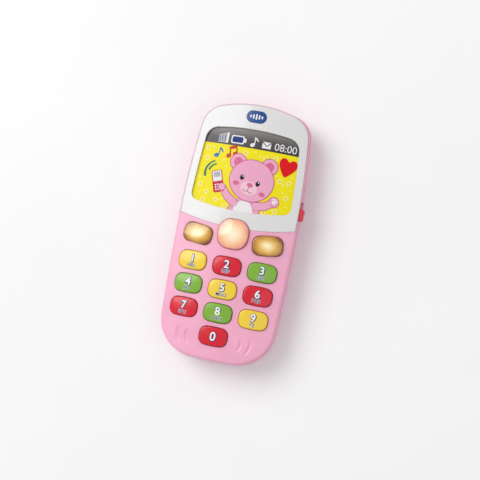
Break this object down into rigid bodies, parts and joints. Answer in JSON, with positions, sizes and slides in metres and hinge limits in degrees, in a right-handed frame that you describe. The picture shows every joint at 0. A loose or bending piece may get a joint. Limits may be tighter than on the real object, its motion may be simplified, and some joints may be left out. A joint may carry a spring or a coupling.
{
  "type": "toy cell phone",
  "caption": "Toddler's bar-shaped toy phone with a crowned two-part casing, picture screen, digit keys, light-up keys, side volume switch and battery door.",
  "frame": {"origin": "middle of the phone's plan at the plane of its flat back, on the surface it lies on", "axes": "+Z out through the screen and keys, +Y towards the earpiece end, +X to the right of someone looking at the screen"},
  "size_m": [0.0736, 0.1538, 0.0278],
  "materials": {
    "pink_shell": "pastel pink ABS, satin gloss",
    "white_plate": "white ABS, gloss",
    "clear_window": "clear polystyrene, polished",
    "printed_card": "coated card printed with the screen picture",
    "badge_blue": "blue ABS, gloss",
    "amber_clear": "translucent amber plastic, polished",
    "rose_clear": "translucent rose plastic, polished",
    "key_yellow": "yellow ABS, gloss",
    "key_red": "red ABS, gloss",
    "key_green": "green ABS, gloss",
    "black_nylon": "black nylon",
    "nickel": "nickel-plated steel",
    "screw_steel": "zinc-plated steel",
    "cell_wrap": "printed cell wrapper",
    "board_green": "glass-fibre board with green mask",
    "sheet_rubber": "grey silicone rubber",
    "lamp_amber": "clear epoxy, lit",
    "black_resin": "black resin",
    "component_dark": "dark component bodies",
    "speaker_paper": "black paper",
    "magnet_dark": "ferrite magnet",
    "wire_red": "insulated wire"
  },
  "bodies": {
    "body": {"rear_casing": "pink_shell", "front_casing": "pink_shell", "faceplate": "white_plate", "screen_lens": "clear_window", "screen_card": "printed_card", "badge": "badge_blue", "switch_body": "nickel", "casing_screws": "screw_steel", "board_screws": "screw_steel", "speaker_screws": "screw_steel", "battery_left": "cell_wrap", "battery_right": "cell_wrap", "battery_contacts": "nickel", "battery_springs": "nickel", "circuit_board": "board_green", "key_sheet": "sheet_rubber", "lamp_left": "lamp_amber", "lamp_right": "lamp_amber", "lamp_centre": "lamp_amber", "chip_blob": "black_resin", "board_components": "component_dark", "speaker_frame": "nickel", "speaker_cone": "speaker_paper", "speaker_magnet": "magnet_dark", "speaker_clamp": "black_nylon", "speaker_wires": "wire_red", "battery_wires": "wire_red"},
    "key_1": {"key_1": "key_yellow"},
    "key_2": {"key_2": "key_red"},
    "key_3": {"key_3": "key_green"},
    "key_4": {"key_4": "key_green"},
    "key_5": {"key_5": "key_yellow"},
    "key_6": {"key_6": "key_red"},
    "key_7": {"key_7": "key_red"},
    "key_8": {"key_8": "key_green"},
    "key_9": {"key_9": "key_yellow"},
    "key_0": {"key_0": "key_red"},
    "light_key_left": {"light_key_left": "amber_clear"},
    "light_key_centre": {"light_key_centre": "rose_clear"},
    "light_key_right": {"light_key_right": "amber_clear"},
    "volume_switch": {"volume_knob": "key_red", "switch_lever": "black_nylon"},
    "battery_door": {"battery_door": "pink_shell"},
    "door_screw": {"door_screw": "screw_steel"}
  },
  "joints": [
    {"name": "key_1_press", "type": "slide", "parent": "body", "child": "key_1", "axis": [0, 0, -1], "range_m": [0, 0.0011], "stiffness_N_per_m": 1250, "deforming": ["key_sheet"]},
    {"name": "key_2_press", "type": "slide", "parent": "body", "child": "key_2", "axis": [0, 0, -1], "range_m": [0, 0.0011], "stiffness_N_per_m": 1250, "deforming": ["key_sheet"]},
    {"name": "key_3_press", "type": "slide", "parent": "body", "child": "key_3", "axis": [0, 0, -1], "range_m": [0, 0.0011], "stiffness_N_per_m": 1250, "deforming": ["key_sheet"]},
    {"name": "key_4_press", "type": "slide", "parent": "body", "child": "key_4", "axis": [0, 0, -1], "range_m": [0, 0.0011], "stiffness_N_per_m": 1250, "deforming": ["key_sheet"]},
    {"name": "key_5_press", "type": "slide", "parent": "body", "child": "key_5", "axis": [0, 0, -1], "range_m": [0, 0.0011], "stiffness_N_per_m": 1250, "deforming": ["key_sheet"]},
    {"name": "key_6_press", "type": "slide", "parent": "body", "child": "key_6", "axis": [0, 0, -1], "range_m": [0, 0.0011], "stiffness_N_per_m": 1250, "deforming": ["key_sheet"]},
    {"name": "key_7_press", "type": "slide", "parent": "body", "child": "key_7", "axis": [0, 0, -1], "range_m": [0, 0.0011], "stiffness_N_per_m": 1250, "deforming": ["key_sheet"]},
    {"name": "key_8_press", "type": "slide", "parent": "body", "child": "key_8", "axis": [0, 0, -1], "range_m": [0, 0.0011], "stiffness_N_per_m": 1250, "deforming": ["key_sheet"]},
    {"name": "key_9_press", "type": "slide", "parent": "body", "child": "key_9", "axis": [0, 0, -1], "range_m": [0, 0.0011], "stiffness_N_per_m": 1250, "deforming": ["key_sheet"]},
    {"name": "key_0_press", "type": "slide", "parent": "body", "child": "key_0", "axis": [0, 0, -1], "range_m": [0, 0.0011], "stiffness_N_per_m": 1250, "deforming": ["key_sheet"]},
    {"name": "light_key_left_press", "type": "slide", "parent": "body", "child": "light_key_left", "axis": [0, 0, -1], "range_m": [0, 0.0011], "stiffness_N_per_m": 1250, "deforming": ["key_sheet"]},
    {"name": "light_key_centre_press", "type": "slide", "parent": "body", "child": "light_key_centre", "axis": [0, 0, -1], "range_m": [0, 0.0011], "stiffness_N_per_m": 1250, "deforming": ["key_sheet"]},
    {"name": "light_key_right_press", "type": "slide", "parent": "body", "child": "light_key_right", "axis": [0, 0, -1], "range_m": [0, 0.0011], "stiffness_N_per_m": 1250, "deforming": ["key_sheet"]},
    {"name": "volume_slide", "type": "slide", "parent": "body", "child": "volume_switch", "axis": [0, 1, 0], "range_m": [0, 0.004]},
    {"name": "battery_door_hinge", "type": "hinge", "parent": "body", "child": "battery_door", "pos_m": [0, -0.0635, 0], "axis": [-1, 0, 0], "range_deg": [0, 35]},
    {"name": "door_screw_turn", "type": "hinge", "parent": "battery_door", "child": "door_screw", "pos_m": [0, 0.0006, 0], "axis": [0, 0, 1], "continuous": true}
  ]
}
